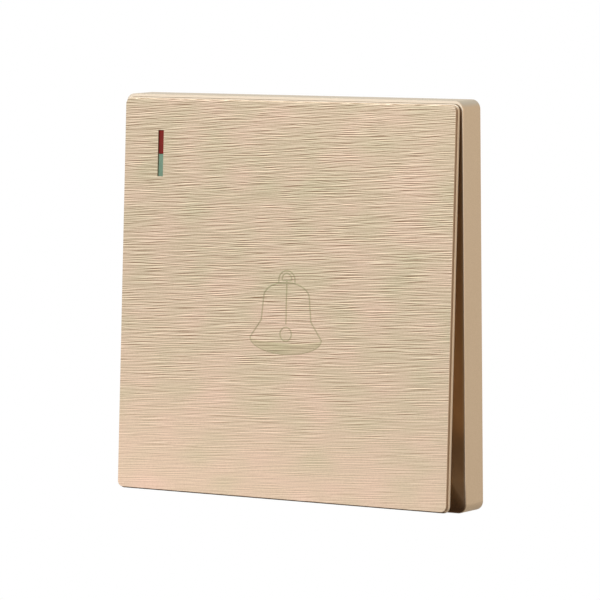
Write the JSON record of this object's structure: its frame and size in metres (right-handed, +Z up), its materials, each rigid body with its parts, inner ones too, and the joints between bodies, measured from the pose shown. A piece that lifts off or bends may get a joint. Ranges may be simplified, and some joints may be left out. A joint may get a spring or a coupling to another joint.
{
  "type": "doorbell push",
  "caption": "Square flush-mounted doorbell push: tilted rocking key with brushed face in a champagne frame, spring return, contact mechanism and terminals behind.",
  "frame": {"origin": "middle between the two wall-screw slots, on the wall plane", "axes": "+X right seen from the front, +Y into the wall, +Z up"},
  "size_m": [0.086, 0.0357, 0.086],
  "materials": {
    "champagne_paint": "moulded plastic with smooth metallic champagne paint",
    "brushed_face": "champagne sheet with fine horizontal brushing",
    "red_insert": "clear-coloured red plastic",
    "green_insert": "pale green plastic",
    "zinc_steel": "zinc-plated steel",
    "pale_moulding": "pale grey moulded plastic",
    "acetal": "white sliding plastic",
    "brass": "bright brass",
    "bronze": "spring bronze",
    "silver": "silver contact metal",
    "spring_steel": "drawn steel wire"
  },
  "bodies": {
    "base": {"outer_frame": "champagne_paint", "mounting_plate": "zinc_steel", "mechanism_cover": "pale_moulding", "rear_housing": "pale_moulding", "terminal_left": "brass", "terminal_right": "brass", "clamp_screw_left": "zinc_steel", "clamp_screw_right": "zinc_steel", "fixed_contact_left": "brass", "fixed_contact_right": "brass", "fixed_tip_left": "silver", "fixed_tip_right": "silver", "housing_screw_upper": "zinc_steel", "housing_screw_lower": "zinc_steel", "return_spring": "spring_steel"},
    "key": {"push_key": "champagne_paint", "face_sheet": "brushed_face", "red_insert": "red_insert", "green_insert": "green_insert"},
    "plunger": {"plunger": "acetal", "contact_bridge": "bronze", "contact_spring": "spring_steel", "bridge_tip_left": "silver", "bridge_tip_right": "silver"}
  },
  "joints": [
    {"name": "key_rock", "type": "hinge", "parent": "base", "child": "key", "pos_m": [0, -0.006, 0], "axis": [1, 0, 0], "range_deg": [0, 7], "stiffness_Nm_per_rad": 0.4, "springref_deg": -6.88},
    {"name": "plunger_slide", "type": "slide", "parent": "base", "child": "plunger", "axis": [0, 1, 0], "range_m": [0, 0.00147], "deforming": ["return_spring"]}
  ],
  "couplings": [
    {"joint": "plunger_slide", "follows": "key_rock", "m_per_rad": 0.01199}
  ]
}
